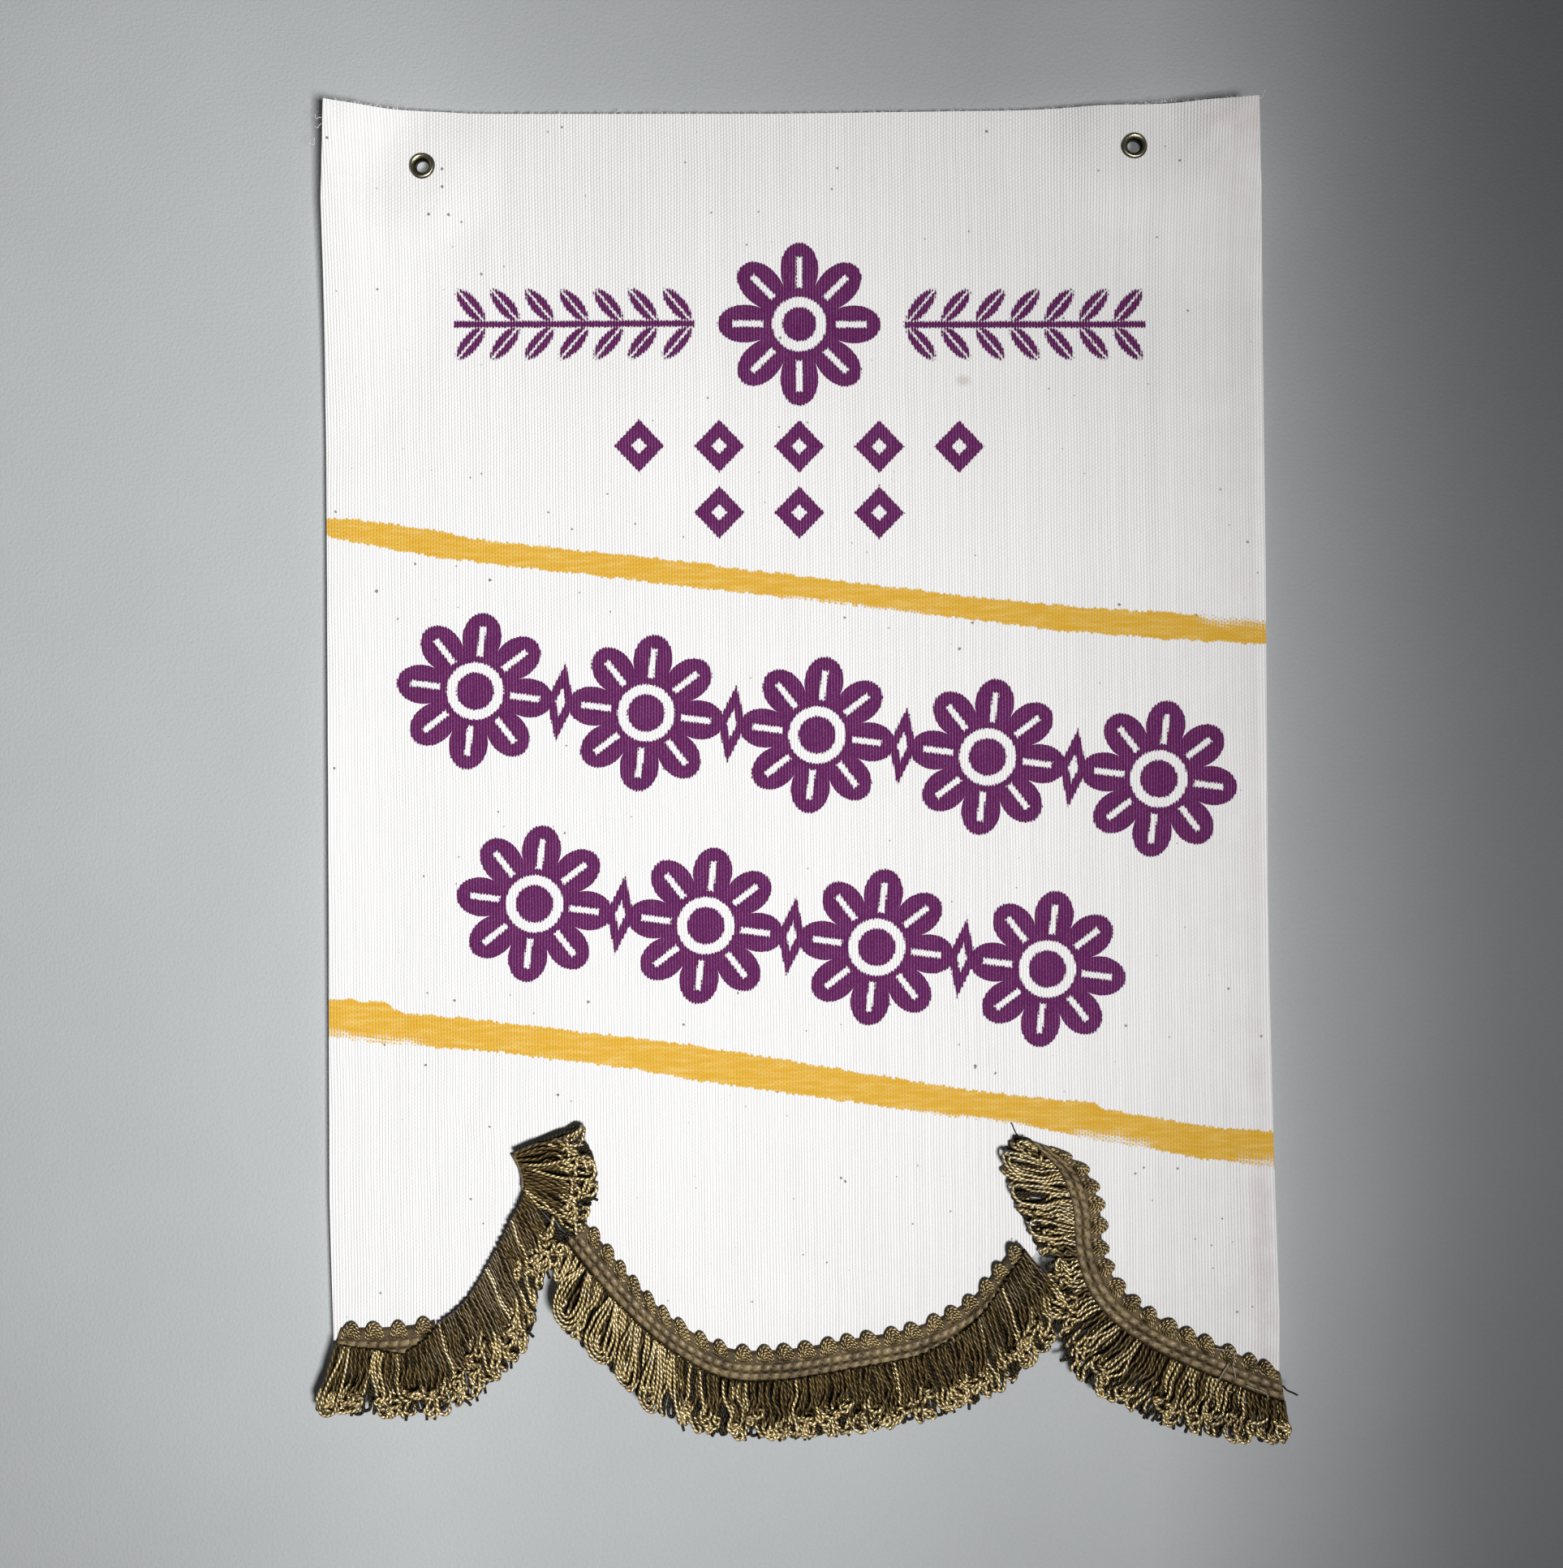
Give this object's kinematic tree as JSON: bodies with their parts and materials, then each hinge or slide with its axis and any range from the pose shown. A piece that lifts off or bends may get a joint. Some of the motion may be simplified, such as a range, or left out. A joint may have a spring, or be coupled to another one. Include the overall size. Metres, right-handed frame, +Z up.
{
  "type": "suffrage banner",
  "caption": "Small hanging banner of heavy white canvas with a scalloped lower edge, bronze loop fringe and metal eyelets near its top corners.",
  "frame": {"origin": "middle of the banner's top edge, on the middle plane of its canvas", "axes": "+Z up the banner, +X to the right as its painted face is read, +Y out of its back towards the wall"},
  "size_m": [0.314, 0.0164, 0.4314],
  "materials": {
    "canvas": "natural white cotton duck with upright ribs, purple print and yellow painted stripes",
    "eyelet_metal": "dark antique brass, polished by wear on the rolled flange",
    "fringe": "glossy twisted rayon in dark bronze gold"
  },
  "bodies": {
    "root": {"heading_strip": "canvas", "banner_cloth": "canvas", "eyelet_left": "eyelet_metal", "eyelet_right": "eyelet_metal", "fringe_left": "fringe", "fringe_centre": "fringe", "fringe_right": "fringe"}
  },
  "joints": []
}
